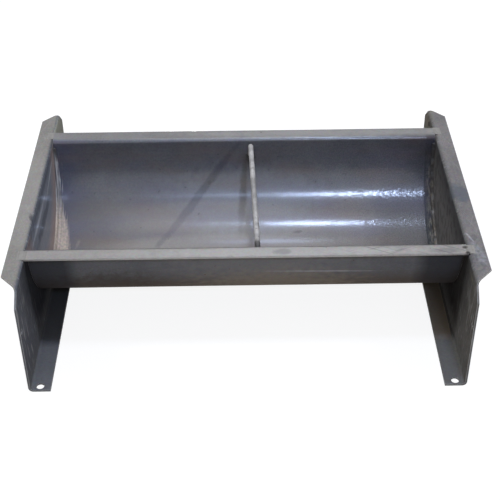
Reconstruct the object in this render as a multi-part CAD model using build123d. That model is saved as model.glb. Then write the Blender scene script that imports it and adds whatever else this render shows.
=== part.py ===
from build123d import *
from math import atan2, cos, degrees, pi, radians, sin, sqrt
import os

# Hog trough: a half-round sheet pan between two bent end plates that are also its legs, with a rod across
# the middle. +X runs along the trough, -Y is the front, where the animals stand, +Z is up, and the
# origin is on the floor under the middle. All sizes are in millimetres and degrees.

# Sheet
sheet = 3.0                  # thickness of the pan and of the end plates
bend_inside = 4.0            # inside radius of every press-brake bend

# Pan
pan_length = 610.0           # between the faces of the two end plates
pan_radius = 140.0           # inside of the half-round
pan_axis_drop = 2.0          # axis of the half-round, below the tops of the rims
rim_width = 26.0             # from the inside of the pan to the free edge of a rim
floor_clearance = 28.0       # under the lowest line of the pan

# End plates
end_overhang = 80.0          # how far an end plate runs past the free edge of each rim
top_flange = 24.5            # from the inner face of the web to the flange's free edge
foot_flange = 31.0           # from the outer face of the web to the foot's free edge
corner_cut_down = 22.5       # where the corner cut leaves the upright edge, below the top
corner_cut_along = 44.0      # how much shorter the flange's free edge is, at each end
hole_inset = 8.5             # from the upright edges to the middle of every hole
foot_hole = 11.0             # diameter of the bolt holes in the feet
web_hole = 7.0               # diameter of the tie holes in the webs
web_hole_height = 105.0      # of the tie holes, above the floor

# Divider rod
rod_diameter = 8.0
rod_below_rim = 2.0          # top of the rod, below the tops of the rims
rod_bend_inside = 4.0        # inside radius of the bends at its ends
rod_turn = 75.0              # how far each end is bent down
rod_drop = 25.0              # from the axis of the level stretch to where an end meets the pan
rod_offset = 13.0            # from the middle of the pan
rod_skew = 1.3               # how far the rod is turned from square across the pan

# Welds
seam_leg = 4.5               # leg of the fillets that seal the pan's ends
seam_crown = 0.5             # how far a fillet bulges past its flat face
seam_stop = 4.0              # angle below level at which the fillets end
rim_weld_lap = 3.0           # how far a rim weld lies over the rim and over the flange
rim_weld_crown = 0.7         # height of a rim weld above the rim
rod_weld_length = 20.0       # along the wall
rod_weld_width = 15.0        # across the rod
rod_weld_height = 5.0        # off the wall

# Heights and places that follow from the sizes above
bend_outside = bend_inside + sheet
rim_top = floor_clearance + sheet + pan_radius + pan_axis_drop
pan_axis = rim_top - pan_axis_drop
rim_edge = pan_radius + rim_width
web_inner = pan_length / 2
web_outer = web_inner + sheet
half_depth = rim_edge + end_overhang
rod_axis = rim_top - rod_below_rim - rod_diameter / 2

# The rod's ends: where its axis meets the pan's wall, and the leg and bend that lead there
rod_angle = radians(rod_turn)
rod_bend = rod_diameter / 2 + rod_bend_inside
rod_end_z = rod_axis - rod_drop
rod_end_y = sqrt(pan_radius ** 2 - (pan_axis - rod_end_z) ** 2)
rod_leg = (rod_drop - rod_bend * (1 - cos(rod_angle))) / sin(rod_angle)
rod_level = rod_end_y - rod_leg * cos(rod_angle) - rod_bend * sin(rod_angle)
rod_place = Pos(rod_offset, 0, 0) * Rot(Z=rod_skew)

# The rim's bend touches the half-round where the line between their centres crosses it
bend_z = rim_top - bend_outside
bend_y = sqrt((pan_radius + bend_outside) ** 2 - (pan_axis - bend_z) ** 2)
meet = degrees(atan2(bend_z - pan_axis, bend_y))

# The corner cut is one straight line on the flat sheet, followed over the top bend
bend_length = (bend_inside + sheet / 2) * pi / 2
flange_flat = top_flange - bend_outside
cut_down_web = corner_cut_down - bend_outside
cut_slope = corner_cut_along / (cut_down_web + bend_length + flange_flat)


def half_round():
    """The space inside the pan's half-round, as a full cylinder along X."""
    return Pos(0, 0, pan_axis) * Rot(Y=90) * Cylinder(pan_radius, pan_length)


def trough_pan():
    """One sheet: a flat rim, a bend, the half-round, a bend and the other flat rim."""
    rim_under = rim_top - sheet
    turn = 90 + meet
    edges = [
        CenterArc((0, pan_axis), pan_radius, 180 - meet, 180 + 2 * meet),
        CenterArc((0, pan_axis), pan_radius + sheet, 180 - meet, 180 + 2 * meet),
    ]
    for side in (-1, 1):
        start = -meet if side < 0 else 90
        centre = (side * bend_y, bend_z)
        edges += [
            CenterArc(centre, bend_outside, start, turn),
            CenterArc(centre, bend_inside, start, turn),
            Line((side * bend_y, rim_top), (side * rim_edge, rim_top)),
            Line((side * bend_y, rim_under), (side * rim_edge, rim_under)),
            Line((side * rim_edge, rim_under), (side * rim_edge, rim_top)),
        ]
    return extrude(Plane.YZ * make_face(Curve() + edges), pan_length / 2, both=True)


def foot():
    """The foot flange with its bend up to the web, and the bolt holes near its two corners."""
    free_edge = web_outer - foot_flange
    bend_x = web_outer - bend_outside
    edges = [
        Line((free_edge, 0), (bend_x, 0)),
        CenterArc((bend_x, bend_outside), bend_outside, 270, 90),
        Line((web_outer, bend_outside), (web_inner, bend_outside)),
        CenterArc((bend_x, bend_outside), bend_inside, 270, 90),
        Line((bend_x, sheet), (free_edge, sheet)),
        Line((free_edge, sheet), (free_edge, 0)),
    ]
    base = extrude(Plane.XZ * make_face(Curve() + edges), half_depth, both=True)
    for y in (-half_depth + hole_inset, half_depth - hole_inset):
        base -= Pos(web_outer - foot_flange / 2, y, sheet / 2) * Cylinder(foot_hole / 2, 2 * sheet)
    return base


def web():
    """The upright wall, its upper corners cut, with a tie hole near each upright edge."""
    cut_start = rim_top - corner_cut_down
    short = half_depth - cut_slope * cut_down_web
    outline = Polyline(
        (-half_depth, bend_outside),
        (half_depth, bend_outside),
        (half_depth, cut_start),
        (short, bend_z),
        (-short, bend_z),
        (-half_depth, cut_start),
        close=True,
    )
    wall = extrude(Plane.YZ.offset(web_inner) * make_face(outline), sheet)
    for y in (-half_depth + hole_inset, half_depth - hole_inset):
        wall -= Pos(web_inner + sheet / 2, y, web_hole_height) * Rot(Y=90) * Cylinder(web_hole / 2, 2 * sheet)
    return wall


def top_bend():
    """The quarter bend over the top of the web, growing shorter along the corner cuts."""
    sections = []
    steps = 6
    middle = bend_inside + sheet / 2
    for step in range(steps + 1):
        angle = 90 * step / steps
        out, up = -cos(radians(angle)), sin(radians(angle))
        along = cut_down_web + bend_length * step / steps
        length = 2 * (half_depth - cut_slope * along)
        place = Plane(
            origin=(web_inner + bend_outside + middle * out, 0, bend_z + middle * up),
            x_dir=(out, 0, up),
            z_dir=(up, 0, -out),
        )
        sections.append(place * Rectangle(sheet, length))
    return loft(sections)


def flange():
    """The flat top flange, its ends cut back towards the free edge."""
    start = web_inner + bend_outside
    end = web_inner + top_flange
    at_bend = half_depth - cut_slope * (cut_down_web + bend_length)
    at_edge = half_depth - corner_cut_along
    outline = Polyline((start, -at_bend), (end, -at_edge), (end, at_edge), (start, at_bend), close=True)
    return extrude(Plane.XY.offset(rim_top - sheet) * make_face(outline), sheet)


def end_plate():
    """The right end plate: foot, web, bend and flange of one sheet."""
    return foot() + web() + top_bend() + flange()


def divider_rod():
    """A round rod, level across the pan, both ends bent down and cut to the curve of its walls."""
    leg_top = (rod_level + rod_bend * sin(rod_angle), rod_axis - rod_bend * (1 - cos(rod_angle)))
    past = rod_leg + rod_diameter
    leg_end = (leg_top[0] + past * cos(rod_angle), leg_top[1] - past * sin(rod_angle))
    path = [
        Line((-leg_end[0], leg_end[1]), (-leg_top[0], leg_top[1])),
        CenterArc((-rod_level, rod_axis - rod_bend), rod_bend, 90 + rod_turn, -rod_turn),
        Line((-rod_level, rod_axis), (rod_level, rod_axis)),
        CenterArc((rod_level, rod_axis - rod_bend), rod_bend, 90, -rod_turn),
        Line(leg_top, leg_end),
    ]
    route = (Plane.YZ * (Curve() + path)).wire()
    section = Plane(route @ 0, z_dir=route % 0) * Circle(rod_diameter / 2)
    return rod_place * sweep(section, route) & half_round()


def seam_weld():
    """The fillet bead in the corner of the pan and the right end plate, from rim to rim."""
    corner = (web_inner, pan_axis - pan_radius)
    on_pan = (corner[0] - seam_leg, corner[1])
    on_web = (corner[0], corner[1] + seam_leg)
    bulge = seam_crown / sqrt(2)
    crown = (corner[0] - seam_leg / 2 - bulge, corner[1] + seam_leg / 2 + bulge)
    edges = [Line(corner, on_pan), ThreePointArc(on_pan, crown, on_web), Line(on_web, corner)]
    bead = make_face(Curve() + edges)
    swing = 90 - seam_stop
    start = Pos(0, 0, pan_axis) * Rot(X=-swing) * Pos(0, 0, -pan_axis) * (Plane.XZ * bead)
    return revolve(start, Axis((0, 0, pan_axis), (1, 0, 0)), 2 * swing)


def rim_weld(pan, plate):
    """The bead in the groove between the rear rim's right end and the end plate's top bend."""
    left = (web_inner - rim_weld_lap, rim_top)
    right = (web_inner + bend_outside + rim_weld_lap, rim_top)
    crown = ((left[0] + right[0]) / 2, rim_top + rim_weld_crown)
    root = rim_top - sheet
    edges = [
        ThreePointArc(left, crown, right),
        Line(right, (right[0], root)),
        Line((right[0], root), (left[0], root)),
        Line((left[0], root), left),
    ]
    bead = extrude(Plane.XZ * make_face(Curve() + edges), -(rim_edge - bend_y))
    return Pos(0, bend_y, 0) * bead - pan - plate


def divider_weld(rod):
    """The weld round the rod's rear end, a low mound on the pan's wall."""
    inward = Vector(0, -rod_end_y, pan_axis - rod_end_z)
    wall = Plane(origin=(0, rod_end_y, rod_end_z), x_dir=(1, 0, 0), z_dir=inward)
    mound = scale(Sphere(1), by=(rod_weld_width / 2, rod_weld_length / 2, rod_weld_height))
    return (rod_place * (wall * mound) & half_round()) - rod


pan = trough_pan()
right_end = end_plate()
rod = divider_rod()
right_seam = seam_weld()
rear_right_rim = rim_weld(pan, right_end)
rear_left_rim = mirror(rear_right_rim, Plane.YZ)
rear_divider = divider_weld(rod)

nodes = {
    "trough_pan": pan,
    "left_end_plate": mirror(right_end, Plane.YZ),
    "right_end_plate": right_end,
    "divider_rod": rod,
    "left_seam_weld": mirror(right_seam, Plane.YZ),
    "right_seam_weld": right_seam,
    "front_left_rim_weld": mirror(rear_left_rim, Plane.XZ),
    "front_right_rim_weld": mirror(rear_right_rim, Plane.XZ),
    "rear_left_rim_weld": rear_left_rim,
    "rear_right_rim_weld": rear_right_rim,
    "front_divider_weld": Pos(2 * rod_offset, 0, 0) * Rot(Z=180) * rear_divider,
    "rear_divider_weld": rear_divider,
}

os.makedirs("parts", exist_ok=True)
for name, solid in nodes.items():
    export_step(solid, f"parts/{name}.step")
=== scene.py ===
import math
import random
import bmesh
import bpy
from mathutils import Matrix, Vector


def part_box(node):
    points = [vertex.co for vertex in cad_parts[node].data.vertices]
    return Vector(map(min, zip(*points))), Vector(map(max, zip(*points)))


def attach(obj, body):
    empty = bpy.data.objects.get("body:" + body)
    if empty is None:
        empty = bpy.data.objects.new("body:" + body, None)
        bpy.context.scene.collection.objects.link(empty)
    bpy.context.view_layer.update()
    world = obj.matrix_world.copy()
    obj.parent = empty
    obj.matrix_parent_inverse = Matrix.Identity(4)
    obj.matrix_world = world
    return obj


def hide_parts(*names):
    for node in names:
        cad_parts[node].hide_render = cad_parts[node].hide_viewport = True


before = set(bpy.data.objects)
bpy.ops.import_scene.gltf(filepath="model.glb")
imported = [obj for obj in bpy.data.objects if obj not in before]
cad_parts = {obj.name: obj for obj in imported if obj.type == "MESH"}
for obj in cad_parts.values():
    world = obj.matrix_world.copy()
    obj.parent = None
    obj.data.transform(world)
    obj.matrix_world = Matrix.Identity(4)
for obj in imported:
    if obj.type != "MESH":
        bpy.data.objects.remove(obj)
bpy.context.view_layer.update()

# Trough pan
# The tray for the feed: one 3 mm steel sheet, rolled to a half-round, with both long edges folded
# outwards into flat rims. Feeding the rolls by hand has left it faintly wavy.
sheet = 0.003
pan_radius = 0.140
bend_outside = 0.007
merge_gap = 1e-6
pick_slack = 1e-5
pan_low, pan_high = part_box("trough_pan")
pan_end = pan_high.x
rim_edge = pan_high.y
rim_top = pan_high.z
pan_axis = pan_low.z + sheet + pan_radius
bend_z = rim_top - bend_outside
bend_y = math.sqrt((pan_radius + bend_outside) ** 2 - (pan_axis - bend_z) ** 2)
bend_dip = math.asin((pan_axis - bend_z) / (pan_radius + bend_outside))


def start_piece(name, add_primitive, **settings):
    """Adds a primitive with nothing else selected, names it, and opens it in edit mode, all selected."""
    bpy.ops.object.select_all(action="DESELECT")
    add_primitive(**settings)
    piece = bpy.context.object
    piece.name = name
    piece.data.name = name
    bpy.ops.object.mode_set(mode="EDIT")
    bpy.ops.mesh.select_all(action="SELECT")
    return piece


def pick(piece, test):
    """Selects the vertices that pass a test of their place, with the edges and faces between them."""
    mesh = bmesh.from_edit_mesh(piece.data)
    mesh.select_mode = {"VERT"}
    for vertex in mesh.verts:
        vertex.select = test(vertex.co)
    mesh.select_flush_mode()
    bmesh.update_edit_mesh(piece.data)


def lay_sheet(piece):
    """Leaves edit mode with the sheet's faces all turned to the upper side of its lowest face."""
    bpy.ops.mesh.select_all(action="SELECT")
    bpy.ops.mesh.remove_doubles(threshold=merge_gap)
    bpy.ops.mesh.normals_make_consistent(inside=False)
    bpy.ops.object.mode_set(mode="OBJECT")
    lowest = min(piece.data.polygons, key=lambda face: face.center.z)
    if lowest.normal.z < 0:
        piece.data.flip_normals()


def apply_modifier(piece, kind, **settings):
    """Adds a modifier with its settings and applies it."""
    bpy.ops.object.select_all(action="DESELECT")
    piece.select_set(True)
    bpy.context.view_layer.objects.active = piece
    modifier = piece.modifiers.new(kind.lower(), kind)
    for name, value in settings.items():
        setattr(modifier, name, value)
    bpy.ops.object.modifier_apply(modifier=modifier.name)


def thicken_sheet(piece, far_finish):
    """Gives a laid sheet its thickness below that side, with the material of that number underneath."""
    apply_modifier(
        piece, "SOLIDIFY", thickness=sheet, offset=-1.0, use_even_offset=True, material_offset=far_finish,
    )


def break_edges(piece):
    """Breaks the sharp edges by half a millimetre, as wear does, and gives them the second material."""
    apply_modifier(
        piece, "BEVEL", width=0.0005, segments=2, limit_method="ANGLE",
        angle_limit=math.radians(50), use_clamp_overlap=False, material=1,
    )
    bpy.ops.object.shade_smooth_by_angle(angle=math.radians(35))
    apply_modifier(piece, "WEIGHTED_NORMAL", keep_sharp=True)


def colour(code):
    """An sRGB hex colour as linear red, green, blue and alpha."""
    shares = [int(code[i:i + 2], 16) / 255 for i in (1, 3, 5)]
    return [c / 12.92 if c <= 0.04045 else ((c + 0.055) / 1.055) ** 2.4 for c in shares] + [1.0]


def plug_in(tree, target, inputs):
    """Sets a node's inputs, each to a value or to another node's output."""
    for name, value in inputs.items():
        if isinstance(value, bpy.types.NodeSocket):
            tree.links.new(value, target.inputs[name])
        else:
            target.inputs[name].default_value = value


def node(tree, kind, inputs, **settings):
    """Adds a node with its settings and inputs, and returns its outputs."""
    new = tree.nodes.new("ShaderNode" + kind)
    for name, value in settings.items():
        setattr(new, name, value)
    plug_in(tree, new, inputs)
    return new.outputs


def new_material(name):
    """A node material, with its tree, its Principled shader and the piece's Object coordinates."""
    material = bpy.data.materials.new(name)
    material.use_nodes = True
    tree = material.node_tree
    return material, tree, tree.nodes["Principled BSDF"], node(tree, "TexCoord", {})["Object"]


def unroll(tree, y, z):
    """How far a place lies along the pan's curve from its lowest line, and how far out from its axis."""
    depth = node(tree, "Math", {0: pan_axis, 1: z}, operation="SUBTRACT")[0]
    turned = node(tree, "Math", {0: y, 1: depth}, operation="ARCTAN2")[0]
    arc = node(tree, "Math", {0: turned, 1: pan_radius}, operation="MULTIPLY")[0]
    section = node(tree, "CombineXYZ", {"Y": y, "Z": depth})[0]
    reach = node(tree, "VectorMath", {0: section}, operation="LENGTH")["Value"]
    return arc, reach


def rolled_tone(tree, place):
    """Mill scale's unevenness, 0 dark to 1 light: 70 mm clouds, 20 mm blotches, and streaks along X, the
    rolling direction. The specks are drawn 3 mm wide, because the real 0.1 mm grain is too fine to show."""
    clouds = node(tree, "TexNoise", {"Vector": place, "Scale": 1 / 0.07, "Detail": 3.0})[0]
    blotches = node(tree, "TexNoise", {"Vector": place, "Scale": 1 / 0.02, "Detail": 3.0})[0]
    specks = node(tree, "TexNoise", {"Vector": place, "Scale": 1 / 0.003, "Detail": 2.0})[0]
    along = node(tree, "Mapping", {"Vector": place, "Scale": (1 / 0.12, 1 / 0.004, 1 / 0.004)})[0]
    streaks = node(tree, "TexNoise", {"Vector": along, "Scale": 1.0, "Detail": 2.0})[0]
    tone = node(tree, "Math", {0: clouds, 1: 0.9, 2: -0.1}, operation="MULTIPLY_ADD")[0]
    for pattern, share in ((blotches, 0.55), (specks, 0.8), (streaks, 0.3)):
        centred = node(tree, "Math", {0: pattern, 1: 0.5}, operation="SUBTRACT")[0]
        tone = node(tree, "Math", {0: centred, 1: share, 2: tone}, operation="MULTIPLY_ADD")[0]
    return node(tree, "Math", {0: tone, 1: 0.15}, operation="ADD", use_clamp=True)[0]


def mottled(tree, place, base):
    """Tints a colour unevenly in 4 mm spots of all hues, as thin films of oxide and dirt do."""
    spots = node(tree, "TexNoise", {"Vector": place, "Scale": 1 / 0.004, "Detail": 2.0})["Color"]
    return node(tree, "MixRGB", {"Fac": 0.17, "Color1": base, "Color2": spots}, blend_type="OVERLAY")[0]


def ragged_edge(tree, place):
    """Unevenness for the edges of stains and of painted light and shade, from about -0.2 to 0.2, with lobes
    12 mm across.
    """
    lobes = node(tree, "TexNoise", {"Vector": place, "Scale": 1 / 0.012, "Detail": 4.0})[0]
    return node(tree, "Math", {0: lobes, 1: 0.9, 2: -0.45}, operation="MULTIPLY_ADD")[0]


def mark(tree, place, rough_edge, centre, size, turn=(0, 0, 0), strength=1.0, core=0.4):
    """A mask for a stain, or for a patch of painted light or shade: full strength in the core of an ellipsoid
    of these half-sizes, and fading out from there to its ragged edge."""
    local = node(
        tree, "Mapping", {"Vector": place, "Location": centre, "Rotation": turn, "Scale": size},
        vector_type="TEXTURE",
    )[0]
    away = node(tree, "VectorMath", {0: local}, operation="LENGTH")["Value"]
    ragged = node(tree, "Math", {0: away, 1: rough_edge}, operation="ADD")[0]
    return node(
        tree, "MapRange", {"Value": ragged, "From Min": 1.0, "From Max": core, "To Max": strength},
        interpolation_type="SMOOTHSTEP",
    )[0]


def scuffs(tree, place, turn, width, strength):
    """A mask of handling scratches, turned, and drawn wider than the real hair lines so that they show."""
    spun = node(tree, "Mapping", {"Vector": place, "Rotation": turn})[0]
    drawn = node(tree, "Mapping", {"Vector": spun, "Scale": (1 / (30 * width), 1 / width, 1 / width)})[0]
    lines = node(tree, "TexNoise", {"Vector": drawn, "Scale": 1.0, "Detail": 1.0})[0]
    return node(
        tree, "MapRange", {"Value": lines, "From Min": 0.62, "From Max": 0.74, "To Max": strength},
    )[0]


def dried_feed(tree, unrolled):
    """The dried feed in the pan's left corner: a mask, widest at the bottom and thinning to streaks up the
    rear wall, and its colour, beige in streaks and specks with silver scrape lines higher up. The place is
    given along X, along the pan's curve and out from its axis."""
    x, arc, _ = node(tree, "SeparateXYZ", {0: unrolled})
    taper = node(
        tree, "MapRange",
        {"Value": arc, "From Min": 0.03, "From Max": 0.13, "To Min": 0.028, "To Max": 0.013},
    )[0]
    start = node(tree, "MapRange", {"Value": arc, "From Min": -0.06, "From Max": 0.0})[0]
    bare = node(tree, "MapRange", {"Value": arc, "From Min": 0.09, "From Max": 0.12, "To Max": 0.3})[0]
    along = node(tree, "Mapping", {"Vector": unrolled, "Scale": (1 / 0.0025, 1 / 0.05, 1.0)})[0]
    streaks = node(tree, "TexNoise", {"Vector": along, "Scale": 1.0, "Detail": 3.0})[0]
    from_end = node(tree, "Math", {0: x, 1: pan_end}, operation="ADD")[0]
    share = node(tree, "Math", {0: from_end, 1: taper}, operation="DIVIDE")[0]
    gain = node(
        tree, "MapRange", {"Value": arc, "From Min": 0.08, "From Max": 0.12, "To Min": 0.7, "To Max": 2.4},
    )[0]
    uneven = node(tree, "Math", {0: streaks, 1: 0.5}, operation="SUBTRACT")[0]
    share = node(tree, "Math", {0: uneven, 1: gain, 2: share}, operation="MULTIPLY_ADD")[0]
    share = node(tree, "Math", {0: share, 1: bare}, operation="ADD")[0]
    mask = node(tree, "MapRange", {"Value": share, "From Min": 1.0, "From Max": 0.75, "To Max": 0.95})[0]
    mask = node(tree, "Math", {0: mask, 1: start}, operation="MULTIPLY")[0]
    end = node(tree, "MapRange", {"Value": arc, "From Min": 0.205, "From Max": 0.185})[0]
    mask = node(tree, "Math", {0: mask, 1: end}, operation="MULTIPLY")[0]
    specks = node(tree, "TexNoise", {"Vector": unrolled, "Scale": 1 / 0.004, "Detail": 3.0})[0]
    mottle = node(tree, "Math", {0: streaks, 1: specks}, operation="MULTIPLY")[0]
    mottle = node(tree, "MapRange", {"Value": mottle, "From Min": 0.15, "From Max": 0.35})[0]
    feed = node(
        tree, "MixRGB", {"Fac": mottle, "Color1": colour("#b0a294"), "Color2": colour("#d6c8b9")},
    )[0]
    thin = node(tree, "MapRange", {"Value": arc, "From Min": 0.09, "From Max": 0.13, "To Max": 0.85})[0]
    scraped = node(tree, "Mapping", {"Vector": unrolled, "Scale": (1 / 0.0017, 1 / 0.05, 1.0)})[0]
    scraped = node(tree, "TexNoise", {"Vector": scraped, "Scale": 1.0, "Detail": 2.0})[0]
    bright = node(tree, "MapRange", {"Value": scraped, "From Min": 0.45, "From Max": 0.55})[0]
    silver = node(
        tree, "MixRGB", {"Fac": bright, "Color1": colour("#50535b"), "Color2": colour("#bfc1c6")},
    )[0]
    feed = node(tree, "MixRGB", {"Fac": thin, "Color1": feed, "Color2": silver})[0]
    return mask, feed


# Hot-rolled steel under mill scale, with a film of oil: blue-grey and cloudy, and the film gives the
# half-round narrow bright reflections over a dull body. Hands and snouts have rubbed the rims paler. The
# seams' heat has tinted the left end blue and burnt the film off by the right seam. The right half is gritty,
# with painted shade at the right end, darkest high up, and dried feed lies in the left corner. Painted light
# and
# shade lie on the wall too: a paler pool in the middle, the rod's shadow and a dark diagonal reflection.
pan_finish, tree, shader, place = new_material("oiled_mill_scale_steel")
x, y, z = node(tree, "SeparateXYZ", {0: place})
arc, reach = unroll(tree, y, z)
unrolled = node(tree, "CombineXYZ", {"X": x, "Y": arc, "Z": reach})[0]
tone = rolled_tone(tree, unrolled)
base = node(tree, "MixRGB", {"Fac": tone, "Color1": colour("#4e5058"), "Color2": colour("#6d6f75")})[0]
ragged = ragged_edge(tree, unrolled)
# Rinsed browner below the rear wall, blue with heat at the left, and painted darker high up at the right as
# shade.
rinsed = node(tree, "MapRange", {"Value": arc, "From Min": 0.15, "From Max": 0.10, "To Max": 0.6})[0]
base = node(tree, "MixRGB", {"Fac": rinsed, "Color1": base, "Color2": colour("#777069")})[0]
blued = node(tree, "MapRange", {"Value": x, "From Min": -0.245, "From Max": -0.285, "To Max": 0.5})[0]
base = node(tree, "MixRGB", {"Fac": blued, "Color1": base, "Color2": colour("#535872")})[0]
soot_and_painted_shade = node(tree, "MapRange", {"Value": x, "From Min": 0.2, "From Max": 0.29, "To Max": 0.6})[0]
upper = node(tree, "MapRange", {"Value": arc, "From Min": 0.13, "From Max": 0.19})[0]
soot_and_painted_shade = node(tree, "Math", {0: soot_and_painted_shade, 1: upper}, operation="MULTIPLY")[0]
base = node(tree, "MixRGB", {"Fac": soot_and_painted_shade, "Color1": base, "Color2": colour("#2d2e34")})[0]
# Burnt beside the right seam, with streaks of ash, and painted darker high up as shade.
edge = node(tree, "Math", {0: ragged, 1: 0.003, 2: x}, operation="MULTIPLY_ADD")[0]
heat_tint_and_painted_dark = node(tree, "MapRange", {"Value": edge, "From Min": 0.2895, "From Max": 0.2910})[0]
ash = node(tree, "MapRange", {"Value": edge, "From Min": 0.292, "From Max": 0.297})[0]
fanned = node(tree, "Mapping", {"Vector": unrolled, "Scale": (1 / 0.003, 1 / 0.012, 1.0)})[0]
fanned = node(tree, "TexNoise", {"Vector": fanned, "Scale": 1.0, "Detail": 3.0})[0]
fanned = node(tree, "MapRange", {"Value": fanned, "From Min": 0.38, "From Max": 0.62})[0]
ash = node(tree, "Math", {0: ash, 1: fanned}, operation="MULTIPLY")[0]
ash = node(tree, "MixRGB", {"Fac": ash, "Color1": colour("#404245"), "Color2": colour("#928f85")})[0]
ash = node(tree, "MixRGB", {"Fac": upper, "Color1": ash, "Color2": colour("#3a3b3f")})[0]
base = node(tree, "MixRGB", {"Fac": heat_tint_and_painted_dark, "Color1": base, "Color2": ash})[0]
# Rubbed on the rims, more so in front.
rim = node(tree, "MapRange", {"Value": reach, "From Min": 0.1425, "From Max": 0.1475})[0]
wear = node(
    tree, "MapRange", {"Value": y, "From Min": -0.1, "From Max": 0.1, "To Min": 0.95, "To Max": 0.6},
)[0]
rubbed_and_painted_shade = node(tree, "Math", {0: rim, 1: wear}, operation="MULTIPLY")[0]
worn = node(tree, "MixRGB", {"Fac": tone, "Color1": colour("#a39f9b"), "Color2": colour("#bfbbb6")})[0]
base = node(tree, "MixRGB", {"Fac": rubbed_and_painted_shade, "Color1": base, "Color2": worn})[0]
# Single marks on the wall and the rims: stains, with slag by the pits of the front right rim weld at the end,
# a pale violet streak by the rod's rear end, and painted light and shade, each named above its line.
for mark_colour, strength, centre, size, turn in (
    # Painted light: a paler pool in the middle of the rear wall.
    ("#7f828b", 0.4, (0.000, 0.120, pan_radius), (0.170, 0.080, 0.1), 0.0),
    # Painted shade by the right end of the rear wall.
    ("#3c3d42", 0.35, (0.265, 0.090, pan_radius), (0.090, 0.110, 0.1), 0.0),
    # A painted dark reflection, a diagonal across the left half.
    ("#3c3e45", 0.62, (-0.080, 0.120, pan_radius), (0.009, 0.165, 0.1), -0.65),
    # The rod's painted shadow, beside it on the rear wall.
    ("#36342f", 0.5, (-0.004, 0.122, pan_radius), (0.0080, 0.085, 0.1), -0.07),
    ("#33353b", 0.5, (-0.057, 0.148, pan_radius), (0.005, 0.005, 0.1), 0.0),
    ("#33353b", 0.6, (0.084, 0.064, pan_radius), (0.011, 0.004, 0.1), 0.15),
    # A pale violet streak by the rod's rear end.
    ("#675a70", 0.6, (0.002, 0.203, pan_radius), (0.002, 0.007, 0.1), -0.75),
    ("#c8bdb1", 0.18, (-0.268, 0.047, pan_radius), (0.004, 0.013, 0.1), -0.3),
    ("#d9d8d6", 0.4, (0.040, -0.222, 0.156), (0.270, 0.030, 0.014), 0.0),
    ("#cfcecd", 0.3, (0.130, 0.222, 0.156), (0.300, 0.030, 0.014), 0.0),
    ("#5c5f66", 0.35, (0.049, -0.223, 0.156), (0.016, 0.020, 0.009), 0.0),
    ("#5c5f66", 0.35, (0.275, -0.223, 0.158), (0.030, 0.020, 0.008), 0.0),
    ("#2b2826", 0.8, (0.3015, -0.222, 0.1515), (0.0048, 0.020, 0.0042), 0.0),
    ("#2b2826", 0.8, (0.3035, -0.222, 0.1645), (0.0048, 0.020, 0.0042), 0.0),
):
    mask = mark(tree, unrolled, ragged, centre, size, (0, 0, turn), strength)
    base = node(tree, "MixRGB", {"Fac": mask, "Color1": base, "Color2": colour(mark_colour)})[0]
# Scratches across the right half of the rims.
scratched = node(tree, "MapRange", {"Value": x, "From Min": 0.05, "From Max": 0.2})[0]
scratched = node(tree, "Math", {0: scratched, 1: rim}, operation="MULTIPLY")[0]
nearer = node(
    tree, "MapRange", {"Value": y, "From Min": 0.1, "From Max": -0.1, "To Min": 0.4, "To Max": 1.1},
)[0]
scratched = node(tree, "Math", {0: scratched, 1: nearer}, operation="MULTIPLY")[0]
for turn in ((0, 0, 0.45), (0, 0, -0.4)):
    mask = scuffs(tree, place, turn, width=0.002, strength=0.4)
    mask = node(tree, "Math", {0: mask, 1: scratched}, operation="MULTIPLY")[0]
    base = node(tree, "MixRGB", {"Fac": mask, "Color1": base, "Color2": colour("#55575d")})[0]
# Thin brown and violet films of oxide, and black specks.
rolled = node(tree, "Mapping", {"Vector": unrolled, "Scale": (1 / 0.10, 1 / 0.03, 1.0)})[0]
films = node(tree, "TexNoise", {"Vector": rolled, "Scale": 1.0, "Detail": 2.0})["Color"]
films = node(tree, "SeparateXYZ", {0: films})
for patches, mark_colour in ((films[0], "#74625a"), (films[1], "#5f5d74")):
    mask = node(tree, "MapRange", {"Value": patches, "From Min": 0.48, "From Max": 0.68, "To Max": 0.3})[0]
    mask = node(tree, "Math", {0: mask, 1: rim}, operation="SUBTRACT", use_clamp=True)[0]
    base = node(tree, "MixRGB", {"Fac": mask, "Color1": base, "Color2": colour(mark_colour)})[0]
specks = node(tree, "TexNoise", {"Vector": unrolled, "Scale": 1 / 0.006, "Detail": 0.0})[0]
specks = node(tree, "MapRange", {"Value": specks, "From Min": 0.80, "From Max": 0.86, "To Max": 0.32})[0]
base = node(tree, "MixRGB", {"Fac": specks, "Color1": base, "Color2": colour("#26272b")})[0]
# Grit, drawn 2 mm wide because the real grains are too fine to show, and denser to the right.
sand = node(tree, "TexNoise", {"Vector": unrolled, "Scale": 1 / 0.002, "Detail": 2.0})[0]
sand = node(tree, "MapRange", {"Value": sand, "From Min": 0.35, "From Max": 0.65})[0]
sandy = node(
    tree, "MapRange", {"Value": x, "From Min": 0.0, "From Max": 0.25, "To Min": 0.04, "To Max": 0.17},
)[0]
sandy = node(tree, "Math", {0: sandy, 1: rim}, operation="SUBTRACT", use_clamp=True)[0]
base = node(tree, "MixRGB", {"Fac": sandy, "Color1": base, "Color2": sand}, blend_type="OVERLAY")[0]
dusty, feed = dried_feed(tree, unrolled)
base = node(tree, "MixRGB", {"Fac": dusty, "Color1": base, "Color2": feed})[0]
# The film of oil is gone where feed, heat or rubbing has left the sheet matt.
matt = node(tree, "Math", {0: dusty, 1: heat_tint_and_painted_dark}, operation="MAXIMUM")[0]
matt = node(tree, "Math", {0: rim, 1: 0.8, 2: matt}, operation="MULTIPLY_ADD", use_clamp=True)[0]
film = node(tree, "Math", {0: 1.0, 1: matt}, operation="SUBTRACT")[0]
dull = node(tree, "MapRange", {"Value": tone, "To Min": 0.36, "To Max": 0.48})[0]
dull = node(tree, "Math", {0: matt, 1: 0.15, 2: dull}, operation="MULTIPLY_ADD")[0]
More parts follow.
